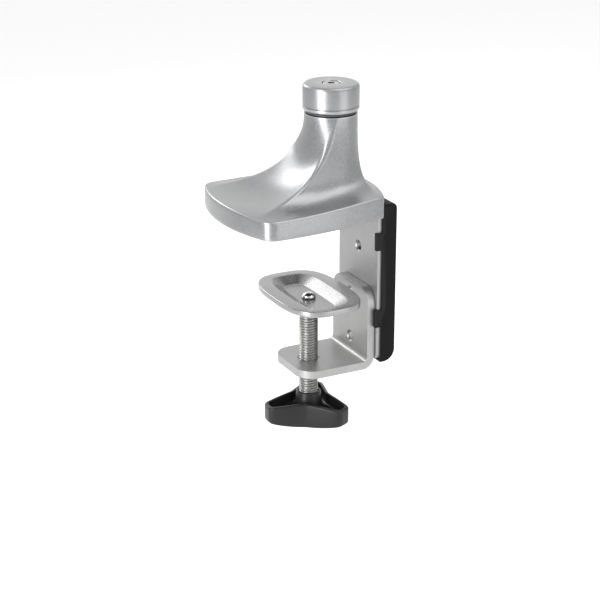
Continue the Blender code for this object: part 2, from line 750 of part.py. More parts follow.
def make_arm_post():
    shoulder = POCKET_TOP - 0.5
    profile = [(STUD_RADIUS - 0.6, 7.6), (STUD_RADIUS, 8.2), (STUD_RADIUS, shoulder), (POST_RADIUS, shoulder)]
    profile += [(POST_RADIUS, POST_TOP - 0.6), (POST_RADIUS - 0.6, POST_TOP)]
    post = to_object("arm_post", turned(profile, 32), zinc(), (0, 0, 0))
    cut(post, turned([(TAPPED_RADIUS, 57.0), (TAPPED_RADIUS, 75.0)], 20), "post_tapping")
    return post


def make_post_fixings():
    inner = STUD_RADIUS + GAP
    profile = [(inner, WASHER_LOW), (WASHER_RADIUS, WASHER_LOW)]
    profile += [(WASHER_RADIUS, WASHER_HIGH), (inner, WASHER_HIGH)]
    to_object("post_washer", turned(profile, 28, ring=True), zinc(), (0, 0, WASHER_LOW))
    nut = prism(hexagon(14.0), WASHER_LOW - GAP - 3.2, WASHER_LOW - GAP)
    nut = to_object("post_nut", nut, zinc(), (0, 0, WASHER_LOW - GAP - 3.2))
    cut(nut, turned([(inner, 5.0), (inner, 13.0)], 24), "nut_thread")


def make_arm_hub():
    profile = [(HUB_RADIUS - 0.6, HUB_BOTTOM), (HUB_RADIUS, HUB_BOTTOM + 0.6), (HUB_RADIUS, HUB_TOP - 2.0)]
    profile += [(HUB_RADIUS - 0.6, HUB_TOP - 0.6), (HUB_RADIUS - 2.0, HUB_TOP)]
    hub = to_object("arm_hub", turned(profile, 48), cast_silver(), (0, 0, HUB_BOTTOM), sharp=28)
    bore = [(POST_RADIUS + GAP, HUB_BOTTOM - 3), (POST_RADIUS + GAP, POST_TOP + 0.4)]
    bore += [(3.3, POST_TOP + 0.4), (3.3, HUB_SCREW_SEAT), (5.6, HUB_SCREW_SEAT), (5.6, HUB_TOP + 3)]
    cut(hub, turned(bore, 28), "hub_bore")
    hole = turned([(2.7, 6.0), (2.7, 24.0)], 16)
    cut(hub, moved(hole, 0, 0, GRUB_HEIGHT, ALONG_Y), "grub_hole")


def make_hub_screws():
    seat = HUB_SCREW_SEAT + GAP
    profile = [(SHANK_RADIUS, 59.0), (SHANK_RADIUS, seat), (PAN_HEAD_RADIUS, seat)]
    profile += [(PAN_HEAD_RADIUS, HUB_TOP - 0.6), (PAN_HEAD_RADIUS - 0.4, HUB_TOP - 0.2)]
    screw = to_object("hub_screw", turned(profile, 24), zinc(), (0, 0, seat))
    cut(screw, prism(hexagon(4.0), HUB_TOP - 2.2, HUB_TOP + 2), "hub_screw_socket")
    grub = moved(turned([(2.4, 8.3), (2.4, 15.6)], 16), 0, 0, GRUB_HEIGHT, ALONG_Y)
    grub = to_object("hub_grub_screw", grub, zinc(), (0, 12, GRUB_HEIGHT))
    socket = moved(prism(hexagon(2.5), 13.0, 20.0), 0, 0, GRUB_HEIGHT, ALONG_Y)
    cut(grub, socket, "grub_socket")


def main():
    clear_scene()
    make_base_casting()
    make_foot_pad()
    make_upper_bracket()
    make_lower_bracket()
    make_flange_screws()
    make_height_screws()
    make_back_cover()
    make_clamp_plate()
    make_plate_rivet()
    make_thrust_washer()
    make_spindle()
    make_spindle_nut()
    make_knob()
    make_bushes()
    make_arm_post()
    make_post_fixings()
    make_arm_hub()
    make_hub_screws()


main()
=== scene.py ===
"""Looks of the monitor arm's desk-clamp base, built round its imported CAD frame.

Lengths inside the shape functions are millimetres in the CAD frame: +Z up, -Y over the desk, X along the
desk's edge, origin where the column's axis meets the desk top. Objects are scaled to metres once, in place().
"""

import math

import bmesh
import bpy
from mathutils import Matrix, Vector


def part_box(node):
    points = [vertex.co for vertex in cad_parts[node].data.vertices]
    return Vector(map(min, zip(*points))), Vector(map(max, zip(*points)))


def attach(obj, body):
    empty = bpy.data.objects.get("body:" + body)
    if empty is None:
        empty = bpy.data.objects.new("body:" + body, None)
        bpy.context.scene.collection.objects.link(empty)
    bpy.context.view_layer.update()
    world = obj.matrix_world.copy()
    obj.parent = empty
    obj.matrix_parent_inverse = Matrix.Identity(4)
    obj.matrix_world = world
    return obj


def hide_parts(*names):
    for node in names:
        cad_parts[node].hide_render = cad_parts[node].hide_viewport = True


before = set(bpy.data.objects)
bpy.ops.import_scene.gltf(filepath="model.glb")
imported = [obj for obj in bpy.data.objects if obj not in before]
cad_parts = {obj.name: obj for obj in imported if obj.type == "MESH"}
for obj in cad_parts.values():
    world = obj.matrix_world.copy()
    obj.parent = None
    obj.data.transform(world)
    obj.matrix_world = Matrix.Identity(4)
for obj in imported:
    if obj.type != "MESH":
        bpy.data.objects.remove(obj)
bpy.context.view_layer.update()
MM = 0.001


def node_box(node):
    """Lowest and highest corner of a CAD node, in millimetres."""
    low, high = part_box(node)
    return low / MM, high / MM


# ---------------------------------------------------------------- driving sizes, mm

CASTING_LOW, CASTING_HIGH = node_box("base_casting")
UPPER_LOW, UPPER_HIGH = node_box("upper_bracket")
LOWER_LOW, LOWER_HIGH = node_box("lower_bracket")
COVER_LOW, COVER_HIGH = node_box("back_cover")
PLATE_LOW, PLATE_HIGH = node_box("clamp_plate")
SPINDLE_LOW, SPINDLE_HIGH = node_box("spindle")
KNOB_LOW, KNOB_HIGH = node_box("knob")
NUT_LOW, NUT_HIGH = node_box("spindle_nut")
HUB_LOW, HUB_HIGH = node_box("arm_hub")
BUSH_LOW, BUSH_HIGH = node_box("pivot_bush_upper")
PAD_LOW, PAD_HIGH = node_box("foot_pad")

FOOT_FRONT = CASTING_LOW.y
FOOT_REAR = CASTING_HIGH.y
FOOT_HALF_WIDTH = 46.0
FOOT_FRONT_RADIUS = 106.0
FOOT_SIDE_RADIUS = 280.0
FOOT_REAR_RADIUS = 87.0
FOOT_WIDEST_Y = -54.0
FRONT_CORNER_RADIUS = 8.5
REAR_CORNER_RADIUS = 6.0
FOOT_BOTTOM = CASTING_LOW.z
EDGE_ROUND = 1.3
EDGE_HEIGHT_FRONT = 13.1
EDGE_HEIGHT_CORNER = 12.1
EDGE_HEIGHT_REAR = 14.5
RIDGE_START_X = 35.0
COLUMN_RADIUS = 16.2
COLUMN_TOP = CASTING_HIGH.z
RIDGE_END_ANGLE = math.radians(76)

SHEET = 5.0
BEND_INNER_RADIUS = 3.0
DESK_EDGE_Y = UPPER_HIGH.y - SHEET
FLANGE_BOTTOM = UPPER_HIGH.z - SHEET
PLATE_TOP = LOWER_LOW.z + SHEET
ADJUST_HOLES_Z = (-28.2, -58.0, -87.9)
PIN_HOLES = (10.0, -64.7)
FLANGE_SCREWS = ((17.0, 8.0), (-17.0, 8.0), (17.0, -26.0), (-17.0, -26.0))

SPINDLE_Y = (PLATE_LOW.y + PLATE_HIGH.y) / 2
CLAMP_TOP = PLATE_HIGH.z
CLAMP_HALF_LENGTH = PLATE_HIGH.x
CLAMP_HALF_DEPTH = (PLATE_HIGH.y - PLATE_LOW.y) / 2
CLAMP_SQUARENESS = 3.06
DISH_DEPTH = 4.6
DISH_SHEET = 3.0
DISH_RIM = (31.4, 16.0, 3.5)
DISH_FLOOR = (24.5, 7.7, 5.0)
DISH_UNDER_RIM = (32.4, 17.0, 3.3)
DISH_UNDER_FLOOR = (25.5, 9.8, 4.0)
THREAD_RADIUS = 5.95
THREAD_DEPTH = 0.95
THREAD_PITCH = 1.75
KNOB_REACH = 28.7
KNOB_TIP_HALF = 6.0
KNOB_WAIST = 13.7
KNOB_TURN = math.radians(26)
CLIP_SPANS = ((-24.0, -13.0), (-74.5, -63.2))

# Camera, as azimuth and elevation in degrees and millimetres.
VIEW_AZIMUTH = 62.84
VIEW_ELEVATION = 20.77
VIEW_TARGET = (2.5, -22.2, -56.6)
VIEW_DISTANCE = 1063.0
VIEW_LENS = 103.0

# ---------------------------------------------------------------- mesh tools


def smooth(value):
    value = min(max(value, 0.0), 1.0)
    return value * value * (3 - 2 * value)


def mix(a, b, share):
    return a + (b - a) * share


def skin(rows, ring=False):
    """Joins closed rows of points into a skin, capped at both ends, or joined end to start as a ring."""
    shape = bmesh.new()
    made = [[shape.verts.new(point) for point in row] for row in rows]
    pairs = list(zip(made, made[1:]))
    if ring:
        pairs.append((made[-1], made[0]))
    for low, high in pairs:
        for i in range(len(low)):
            j = (i + 1) % len(low)
            shape.faces.new((low[i], low[j], high[j], high[i]))
    if not ring:
        shape.faces.new(made[0])
        shape.faces.new(made[-1])
    return shape


def circle(radius, z, count, centre=(0.0, 0.0)):
    turns = (math.tau * i / count for i in range(count))
    return [(centre[0] + radius * math.cos(a), centre[1] + radius * math.sin(a), z) for a in turns]


def turned(profile, segments=96, ring=False):
    """Turns a profile of (radius, z) about Z."""
    return skin([circle(radius, z, segments) for radius, z in profile], ring=ring)


def prism(outline, low, high):
    return skin([[(x, y, z) for x, y in outline] for z in (low, high)])


def prism_x(profile, half_width):
    return skin([[(x, y, z) for y, z in profile] for x in (-half_width, half_width)])


def box(low, high):
    outline = [(low[0], low[1]), (high[0], low[1]), (high[0], high[1]), (low[0], high[1])]
    return prism(outline, low[2], high[2])


def hexagon(across_flats):
    radius = across_flats / math.sqrt(3)
    return [(radius * math.cos(math.tau * i / 6), radius * math.sin(math.tau * i / 6)) for i in range(6)]


def arc(centre, radius, start, end, count):
    """Points along an arc, from one angle to another in degrees."""
    angles = [math.radians(start + (end - start) * i / count) for i in range(count + 1)]
    return [(centre[0] + radius * math.cos(a), centre[1] + radius * math.sin(a)) for a in angles]


def moved(shape, x, y, z, turn=None):
    if turn:
        shape.transform(turn)
    shape.transform(Matrix.Translation((x, y, z)))
    return shape


ALONG_Y = Matrix.Rotation(-math.pi / 2, 4, "X")  # takes +Z to +Y


def place(name, shape):
    """Makes an object in metres from a bmesh in millimetres."""
    bmesh.ops.remove_doubles(shape, verts=shape.verts, dist=1e-5)
    bmesh.ops.recalc_face_normals(shape, faces=shape.faces)
    shape.transform(Matrix.Scale(MM, 4))
    data = bpy.data.meshes.new(name)
    shape.to_mesh(data)
    shape.free()
    made = bpy.data.objects.new(name, data)
    bpy.context.scene.collection.objects.link(made)
    return made


def apply_modifiers(piece):
    """Replaces the piece's mesh with the mesh that its modifiers make."""
    graph = bpy.context.evaluated_depsgraph_get()
    graph.update()
    data = bpy.data.meshes.new_from_object(piece.evaluated_get(graph))
    piece.modifiers.clear()
    piece.data = data


def carve(piece, shape, operation="DIFFERENCE"):
    """Cuts a bmesh in millimetres from the piece, or joins it on, and keeps only the result."""
    tool = place("carve_tool", shape)
    boolean = piece.modifiers.new("carve", "BOOLEAN")
    boolean.operation = operation
    boolean.solver = "EXACT"
    boolean.object = tool
    apply_modifiers(piece)
    bpy.data.objects.remove(tool, do_unlink=True)


def soften(piece, width, segments=2, angle=35):
    """Rounds the piece's sharp edges by a small bevel, in millimetres."""
    bevel = piece.modifiers.new("soften", "BEVEL")
    bevel.width = width * MM
    bevel.segments = segments
    bevel.limit_method = "ANGLE"
    bevel.angle_limit = math.radians(angle)
    bevel.use_clamp_overlap = True
    bevel.face_strength_mode = "FSTR_ALL"
    apply_modifiers(piece)


def finish(piece, finish_material, slot, body, *nodes, sharp=30):
    """Shades the piece, gives it its material and body, and hides the CAD nodes it stands for. The slot is
    not used.
    """
    piece.data.shade_smooth()
    piece.data.set_sharp_from_angle(angle=math.radians(sharp))
    piece.data.materials.clear()
    piece.data.materials.append(finish_material)
    if nodes:
        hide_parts(*nodes)
    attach(piece, body)
    return piece


def even_out(piece):
    """Weights the shading by the faces' size, so that flat sheet looks flat up to its bevels and holes."""
    weighted = piece.modifiers.new("even_out", "WEIGHTED_NORMAL")
    weighted.keep_sharp = True
    weighted.use_face_influence = True
    weighted.weight = 100
    apply_modifiers(piece)


# ---------------------------------------------------------------- materials


class Paint:
    """A node material under construction: a Principled shader fed by object coordinates."""

    def __init__(self, name, colour, roughness, metallic):
        self.material = bpy.data.materials.new(name)
        self.material.use_nodes = True
        self.tree = self.material.node_tree
        self.shader = self.tree.nodes["Principled BSDF"]
        self.shader.inputs["Base Color"].default_value = (*colour, 1.0)
        self.shader.inputs["Roughness"].default_value = roughness
        self.shader.inputs["Metallic"].default_value = metallic
        self.place = self.node("ShaderNodeTexCoord").outputs["Object"]
        self.height = None

    def node(self, kind, **settings):
        made = self.tree.nodes.new(kind)
        for key, value in settings.items():
            setattr(made, key, value)
        return made

    def link(self, a, b):
        self.tree.links.new(a, b)

    def set(self, socket, value):
        self.shader.inputs[socket].default_value = value

    def noise(self, size, detail=2.0, rough=0.5, stretch=None):
        """Noise with features of about that size in millimetres, from 0 to 1."""
        made = self.node("ShaderNodeTexNoise")
        made.inputs["Scale"].default_value = 1 / (size * MM)
        made.inputs["Detail"].default_value = detail
        made.inputs["Roughness"].default_value = rough
        source = self.place
        if stretch:
            mapping = self.node("ShaderNodeMapping")
            mapping.inputs["Scale"].default_value = stretch
            self.link(source, mapping.inputs["Vector"])
            source = mapping.outputs["Vector"]
        self.link(source, made.inputs["Vector"])
        return made.outputs["Fac"]

    def cells(self, size):
        made = self.node("ShaderNodeTexVoronoi")
        made.inputs["Scale"].default_value = 1 / (size * MM)
        self.link(self.place, made.inputs["Vector"])
        return made.outputs["Distance"]

    def spread(self, value, low, high, out_low, out_high):
        made = self.node("ShaderNodeMapRange")
        made.inputs["From Min"].default_value = low
        made.inputs["From Max"].default_value = high
        made.inputs["To Min"].default_value = out_low
        made.inputs["To Max"].default_value = out_high
        self.link(value, made.inputs["Value"])
        return made.outputs["Result"]

    def blend(self, share, first, second, kind="MIX"):
        """Mixes two colours, given as sockets or as values."""
        made = self.node("ShaderNodeMix", data_type="RGBA", blend_type=kind)
        if isinstance(share, float):
            made.inputs["Factor"].default_value = share
        else:
            self.link(share, made.inputs["Factor"])
        for socket, value in ((made.inputs[6], first), (made.inputs[7], second)):
            if isinstance(value, tuple):
                socket.default_value = (*value, 1.0)
            else:
                self.link(value, socket)
        return made.outputs[2]

    def colour(self, socket):
        self.link(socket, self.shader.inputs["Base Color"])

    def roughness(self, socket):
        self.link(socket, self.shader.inputs["Roughness"])

    def bump(self, value, depth, strength=1.0):
        """Adds relief of that depth in millimetres."""
        made = self.node("ShaderNodeBump")
        made.inputs["Distance"].default_value = depth * MM
        made.inputs["Strength"].default_value = strength
        self.link(value, made.inputs["Height"])
        if self.height:
            self.link(self.height, made.inputs["Normal"])
        self.height = made.outputs["Normal"]
        self.link(self.height, self.shader.inputs["Normal"])

    def edges(self, low, high):
        """Share of sharp edge, from the surface's pointiness, used to lay a painted highlight along edges."""
        return self.spread(self.node("ShaderNodeNewGeometry").outputs["Pointiness"], low, high, 0.0, 1.0)


def silver_paint(name, dark, light, roughness, grain, metallic, speckle, relief, painted_edge_light=True):
    """Metallic paint: a mosaic of bright and dull flakes over orange peel, with a painted highlight
    brightening its edges.
    """
    paint = Paint(name, light, roughness, metallic)
    flake = paint.spread(paint.noise(grain, 1.0, 0.6), 0.36, 0.64, 0.0, 1.0)
    coarse = paint.spread(paint.noise(grain * 2.4, 2.0, 0.5), 0.35, 0.65, 0.0, 1.0)
    mottle = paint.blend(speckle, flake, coarse)
    tone = paint.blend(mottle, dark, light)
    cloud = paint.spread(paint.noise(22.0, 2.0, 0.5), 0.3, 0.7, 0.94, 1.03)
    tone = paint.blend(1.0, tone, cloud, "MULTIPLY")
    # Painted highlight: sharp edges are painted a paler tone, standing in for the light they catch.
    if painted_edge_light:
        edge_highlight_tone = tuple(min(channel * 1.18, 1.0) for channel in light)
        tone = paint.blend(paint.edges(0.515, 0.56), tone, edge_highlight_tone)
    paint.colour(tone)
    paint.roughness(paint.spread(coarse, 0.0, 1.0, roughness - 0.05, roughness + 0.06))
    paint.bump(paint.noise(grain * 1.3, 2.0, 0.6), relief, 0.55)
    paint.bump(paint.noise(2.2, 1.0, 0.4), 0.012, 0.5)
    return paint


def plated(name, colour, roughness, stretch):
    """Zinc plate with fine turning marks along one direction and slight clouding."""
    paint = Paint(name, colour, roughness, 1.0)
    marks = paint.noise(0.35, 1.0, 0.4, stretch)
    cloud = paint.noise(4.0, 3.0, 0.55)
    dull = tuple(channel * 0.82 for channel in colour)
    paint.colour(paint.blend(paint.spread(cloud, 0.35, 0.65, 0.0, 1.0), dull, colour))
    paint.roughness(paint.spread(marks, 0.3, 0.7, roughness - 0.05, roughness + 0.1))
    paint.bump(marks, 0.004, 0.4)
    return paint


def moulded(name, colour, painted_edge_light, roughness, grain, relief, gloss):
    """Moulded plastic: a fine spark-eroded texture, slight flow marks and a painted highlight of paler colour
    along its edges.
    """
    paint = Paint(name, colour, roughness, 0.0)
    paint.set("Specular IOR Level", gloss)
    texture = paint.noise(grain, 3.0, 0.6)
    flow = paint.spread(paint.noise(9.0, 2.0, 0.5), 0.3, 0.7, 0.0, 1.0)
    lighter = tuple(channel * 1.25 for channel in colour)
    base = paint.blend(flow, colour, lighter)
    # Painted highlight: the sharp edges take the paler edge colour.
    paint.colour(paint.blend(paint.edges(0.52, 0.60), base, painted_edge_light))
    paint.roughness(paint.spread(texture, 0.3, 0.7, roughness - 0.06, roughness + 0.08))
    paint.bump(texture, relief, 0.6)
    return paint


def bright_chrome():
    paint = Paint("chrome", (0.58, 0.585, 0.6), 0.12, 1.0)
    haze = paint.noise(1.6, 3.0, 0.55)
    paint.roughness(paint.spread(haze, 0.35, 0.7, 0.09, 0.18))
    share = paint.spread(haze, 0.3, 0.7, 0.0, 1.0)
    paint.colour(paint.blend(share, (0.52, 0.525, 0.54), (0.62, 0.625, 0.64)))
    paint.bump(paint.noise(0.8, 2.0, 0.5), 0.004, 0.4)
    return paint.material


def pad_foam():
    paint = Paint("pad_foam", (0.03, 0.03, 0.032), 0.92, 0.0)
    pores = paint.cells(0.55)
    # Painted shade: the foam is painted darker down in its pore pits.
    depth = paint.spread(pores, 0.1, 0.6, 0.0, 1.0)
    paint.colour(paint.blend(depth, (0.018, 0.018, 0.019), (0.045, 0.045, 0.048)))
    paint.roughness(paint.spread(pores, 0.0, 0.7, 0.85, 0.98))
    paint.bump(pores, 0.06, 0.7)
    return paint.material


# The cast and plate silvers carry the painted edge highlight; the bracket silver does not.
CAST_SILVER = silver_paint(
    "cast_silver", (0.215, 0.217, 0.221), (0.30, 0.302, 0.306),
    roughness=0.34, grain=0.42, metallic=0.94, speckle=0.45, relief=0.024,
).material
BRACKET_SILVER = silver_paint(
    "bracket_silver", (0.27, 0.27, 0.268), (0.345, 0.345, 0.343),
    roughness=0.38, grain=0.30, metallic=0.7, speckle=0.4, relief=0.004, painted_edge_light=False,
).material
PLATE_SILVER = silver_paint(
    "plate_silver", (0.25, 0.25, 0.249), (0.31, 0.31, 0.309),
    roughness=0.29, grain=0.32, metallic=0.82, speckle=0.4, relief=0.004,
).material
SPINDLE_STEEL = plated("spindle_steel", (0.34, 0.338, 0.332), 0.34, (0.15, 0.15, 4.0)).material
ZINC_STEEL = plated("zinc_steel", (0.42, 0.42, 0.41), 0.28, (0.2, 0.2, 4.0)).material
CHROME = bright_chrome()
# Each plastic's second colour is its painted edge highlight.
COVER_BLACK = moulded(
    "cover_black", (0.005, 0.005, 0.0054), (0.013, 0.013, 0.0135),
    roughness=0.42, grain=0.35, relief=0.02, gloss=0.07,
).material
KNOB_BLACK = moulded(
    "knob_black", (0.009, 0.009, 0.0094), (0.026, 0.026, 0.027),
    roughness=0.30, grain=0.30, relief=0.012, gloss=0.25,
).material
GREY_POLYMER = moulded(
    "grey_polymer", (0.03, 0.03, 0.032), (0.07, 0.07, 0.073),
    roughness=0.45, grain=0.25, relief=0.008, gloss=0.3,
).material
PAD_FOAM = pad_foam()

# ---------------------------------------------------------------- cast foot and column


def tangent_centre(first, first_radius, second, second_radius, corner):
    """Centre of a corner arc that lies inside two larger arcs and touches both, on the +X side."""
    a = first_radius - corner
    b = second_radius - corner
    between = Vector(second) - Vector(first)
    distance = between.length
    along = (a * a - b * b + distance * distance) / (2 * distance)
    across = math.sqrt(a * a - along * along)
    unit = between / distance
    middle = Vector(first) + unit * along
    options = [middle + Vector((-unit.y, unit.x)) * side * across for side in (-1, 1)]
    return max(options, key=lambda point: point.x)


def stretch(centre, radius, start, end, count):
    """Points of an arc from one point's direction to another's, without its last point."""
    first = math.atan2(start[1] - centre[1], start[0] - centre[0])
    last = math.atan2(end[1] - centre[1], end[0] - centre[0])
    angles = [mix(first, last, i / count) for i in range(count)]
    return [(centre[0] + radius * math.cos(a), centre[1] + radius * math.sin(a)) for a in angles]


FRONT_COUNT = 60
OUTER_COUNTS = (12, 14, 60, 12, 30)
RISE_STEPS = 90
FLANGE_HOLE_RADIUS = 3.3
RIDGE_ROUND_LOW = 0.9
RIDGE_ROUND_HIGH = 3.6


def half_outline(inset):
    """The foot's plan outline at +X, from the front's middle to the rear's, shrunk by the inset."""
    front_centre = (0.0, FOOT_FRONT + FOOT_FRONT_RADIUS)
    side_centre = (FOOT_HALF_WIDTH - FOOT_SIDE_RADIUS, FOOT_WIDEST_Y)
    rear_centre = (0.0, FOOT_REAR - FOOT_REAR_RADIUS)
    one = tangent_centre(front_centre, FOOT_FRONT_RADIUS, side_centre, FOOT_SIDE_RADIUS, FRONT_CORNER_RADIUS)
    two = tangent_centre(side_centre, FOOT_SIDE_RADIUS, rear_centre, FOOT_REAR_RADIUS, REAR_CORNER_RADIUS)

    def touch(centre, corner):
        return corner + (corner - Vector(centre)).normalized()

    ridge = (RIDGE_START_X, front_centre[1] - math.sqrt(FOOT_FRONT_RADIUS**2 - RIDGE_START_X**2))
    runs = (
        (front_centre, FOOT_FRONT_RADIUS, (0.0, FOOT_FRONT), ridge, FRONT_COUNT),
        (front_centre, FOOT_FRONT_RADIUS, ridge, touch(front_centre, one), OUTER_COUNTS[0]),
        (one, FRONT_CORNER_RADIUS, touch(front_centre, one), touch(side_centre, one), OUTER_COUNTS[1]),
        (side_centre, FOOT_SIDE_RADIUS, touch(side_centre, one), touch(side_centre, two), OUTER_COUNTS[2]),
        (two, REAR_CORNER_RADIUS, touch(side_centre, two), touch(rear_centre, two), OUTER_COUNTS[3]),
        (rear_centre, FOOT_REAR_RADIUS, touch(rear_centre, two), (0.0, FOOT_REAR), OUTER_COUNTS[4]),
    )
    points = []
    for centre, radius, start, end, count in runs:
        points += stretch(centre, radius - inset, start, end, count)
    return points + [(0.0, FOOT_REAR - inset)]


def both_sides(half):
    return half + [(-p[0], *p[1:]) for p in reversed(half[1:-1])]


def edge_height(x, y):
    """Height of the foot's top edge: highest at the rear, lowest at the front corners."""
    front = mix(EDGE_HEIGHT_FRONT, EDGE_HEIGHT_CORNER, smooth(abs(x) / FOOT_HALF_WIDTH))
    return mix(front, EDGE_HEIGHT_REAR, smooth((y - FOOT_FRONT - 15) / (FOOT_REAR - FOOT_FRONT - 15)))


def bezier(points, t):
    points = [Vector(p) for p in points]
    while len(points) > 1:
        points = [a.lerp(b, t) for a, b in zip(points, points[1:])]
    return points[0]


def scoop_controls(edge, share):
    """Control points of the front scoop's rise, from its middle (share 0) to the ridge (share 1)."""
    dip = share * share
    angle = RIDGE_END_ANGLE * share
    return (
        edge,
        (28.0 * share, mix(-46.0, -48.0, dip), mix(12.5, 16.0, dip)),
        (20.5 * share, mix(-20.0, -26.0, dip), mix(14.5, 19.0, dip)),
        (21.5 * share, mix(-15.0, -13.0, dip), mix(36.0, 36.5, dip)),
        (COLUMN_RADIUS * math.sin(angle), -COLUMN_RADIUS * math.cos(angle), COLUMN_TOP),
    )


def flare_controls(edge, share):
    """Control points of the flare round the side and rear, from the ridge (share 0) to the rear (share 1)."""
    angle = mix(RIDGE_END_ANGLE, math.pi, share)
    x = COLUMN_RADIUS * math.sin(angle)
    y = -COLUMN_RADIUS * math.cos(angle)
    flare = (
        edge,
        (mix(edge[0], x, 0.5), mix(edge[1], y, 0.5), edge[2] + 0.8),
        (x * 1.06, y * 1.06, edge[2] + 1.5),
        (x, y, 33.0),
        (x, y, COLUMN_TOP),
    )
    ridge = scoop_controls(edge, 1.0)
    fade = smooth(share / 0.3)
    return [Vector(a).lerp(Vector(b), fade) for a, b in zip(ridge, flare)]


def ridge_reach(rise):
    """Reach of the ridge's rounding to each side: fine at the foot, broad on the column, none at its top."""
    reach = mix(RIDGE_ROUND_LOW, RIDGE_ROUND_HIGH, smooth(rise / 0.7))
    return reach * (1 - smooth((rise - 0.82) / 0.18)) + 0.001


def round_ridge(half, reach):
    """Rounds the crease between scoop and flare over a short reach along one half row."""
    points = [Vector(point) for point in half]
    along = [0.0] * len(points)
    for i in range(FRONT_COUNT + 1, len(points)):
        along[i] = along[i - 1] + (points[i] - points[i - 1]).length
    for i in range(FRONT_COUNT - 1, -1, -1):
        along[i] = along[i + 1] - (points[i] - points[i + 1]).length

    def at(distance):
        i = max(k for k in range(len(points) - 1) if along[k] <= distance)
        share = (distance - along[i]) / (along[i + 1] - along[i])
        return points[i].lerp(points[i + 1], share)

    ends = [at(-reach), points[FRONT_COUNT], at(reach)]
    rounded = []
    for point, distance in zip(points, along):
        if abs(distance) < reach:
            point = bezier(ends, (distance + reach) / (2 * reach))
        rounded.append(tuple(point))
    return rounded


def make_casting():
    rows = []

    def level(inset, height):
        rows.append([(x, y, height(x, y)) for x, y in half_outline(inset)])

    for a in range(4):
        turn = math.radians(30 * a)
        level(0.6 * (1 - math.sin(turn)), lambda x, y, t=turn: FOOT_BOTTOM + 0.6 * (1 - math.cos(t)))
    for share in (0.25, 0.5, 0.75):
        level(0.0, lambda x, y, s=share: mix(FOOT_BOTTOM + 0.6, edge_height(x, y) - EDGE_ROUND, s))
    for a in range(6):
        turn = math.radians(18 * a)
        level(
            EDGE_ROUND * (1 - math.cos(turn)),
            lambda x, y, t=turn: edge_height(x, y) - EDGE_ROUND * (1 - math.sin(t)),
        )
    edge = [(x, y, edge_height(x, y)) for x, y in half_outline(EDGE_ROUND)]
    last = len(edge) - 1
    first = len(rows)
    for step in range(1, RISE_STEPS + 1):
        half = []
        for i, point in enumerate(edge):
            if i <= FRONT_COUNT:
                controls = scoop_controls(point, i / FRONT_COUNT)
            else:
                controls = flare_controls(point, (i - FRONT_COUNT) / (last - FRONT_COUNT))
            half.append(tuple(bezier(controls, step / RISE_STEPS)))
        rows.append(half)
    for step in range(1, RISE_STEPS):
        row = first + step - 1
        rows[row] = round_ridge(rows[row], ridge_reach(step / RISE_STEPS))
    casting = place("cast_base", skin([both_sides(row) for row in rows]))
    gap = 0.3
    carve(casting, prism(both_sides(half_outline(4.2)), -5.0, FLANGE_BOTTOM))
    bend = (DESK_EDGE_Y - BEND_INNER_RADIUS, FLANGE_BOTTOM - BEND_INNER_RADIUS)
    front = UPPER_LOW.y - 0.5
    profile = [(front, -6.0), (front, FLANGE_BOTTOM + SHEET + gap)]
    profile += arc(bend, BEND_INNER_RADIUS + SHEET + gap, 90, 0, 16)
    profile.append((DESK_EDGE_Y + SHEET + gap, -6.0))
    half = UPPER_HIGH.x + gap
    carve(casting, prism_x(profile, half))
    carve(casting, box((-half, DESK_EDGE_Y, -6.0), (half, FOOT_REAR + 5, COVER_HIGH.z + 0.4)))
    bore = [(13.5, FLANGE_BOTTOM + SHEET - 1), (13.5, 13.5), (10.3, 13.5), (10.3, COLUMN_TOP + 5)]
    carve(casting, turned(bore))
    for number in range(1, 5):
        low, high = node_box(f"flange_screw_{number}")
        hole = turned([(FLANGE_HOLE_RADIUS, low.z + 1.0), (FLANGE_HOLE_RADIUS, high.z + 0.6)], 32)
        carve(casting, moved(hole, (low.x + high.x) / 2, (low.y + high.y) / 2, 0.0))
    return finish(casting, CAST_SILVER, "cast_silver", "root", "base_casting", sharp=40)


def make_foot_pad():
    pad = place("pad_of_foot", prism(both_sides(half_outline(4.6)), PAD_LOW.z, PAD_HIGH.z))
    carve(pad, box((-60, PAD_HIGH.y, -5), (60, 60, 10)))
    soften(pad, 0.35)
    finish(pad, PAD_FOAM, "foam_pad", "root", "foot_pad")


# ---------------------------------------------------------------- folded brackets


def folded_strip(path, half_widths):
    """A folded sheet. The path has (outer point, inner point) pairs of (y, z), and a half width at each."""
    rows = []
    for (outer, inner), half in zip(path, half_widths):
        rows.append([(-half, *outer), (half, *outer), (half, *inner), (-half, *inner)])
    return skin(rows)


def bend_pairs(centre, start, end, steps=18):
    outer = arc(centre, BEND_INNER_RADIUS + SHEET, start, end, steps)
    inner = arc(centre, BEND_INNER_RADIUS, start, end, steps)
    return list(zip(outer, inner))


def rounded_end(half, radius, steps=14):
    """(distance from the end, half width) pairs along a sheet's end with two round corners."""
    pairs = []
    for i in range(steps + 1):
        a = math.radians(90 * i / steps)
        pairs.append((radius * (1 - math.cos(a)), half - radius + radius * math.sin(a)))
    return pairs


def tapped_hole(radius, z, y):
    """Cutter for a tapped hole through a sheet along Y, with thread ridges and countersunk mouths."""
    half = SHEET / 2
    profile = [(radius + 0.9, -half - 1), (radius + 0.9, -half - 0.01), (radius, -half + 0.8)]
    steps = 12
    for i in range(steps + 1):
        profile.append((radius + (0.28 if i % 2 else 0.0), mix(-half + 0.8, half - 0.8, i / steps)))
    profile += [(radius + 0.9, half + 0.01), (radius + 0.9, half + 1)]
    return moved(turned(profile, 48), 0, y + half, z, ALONG_Y)


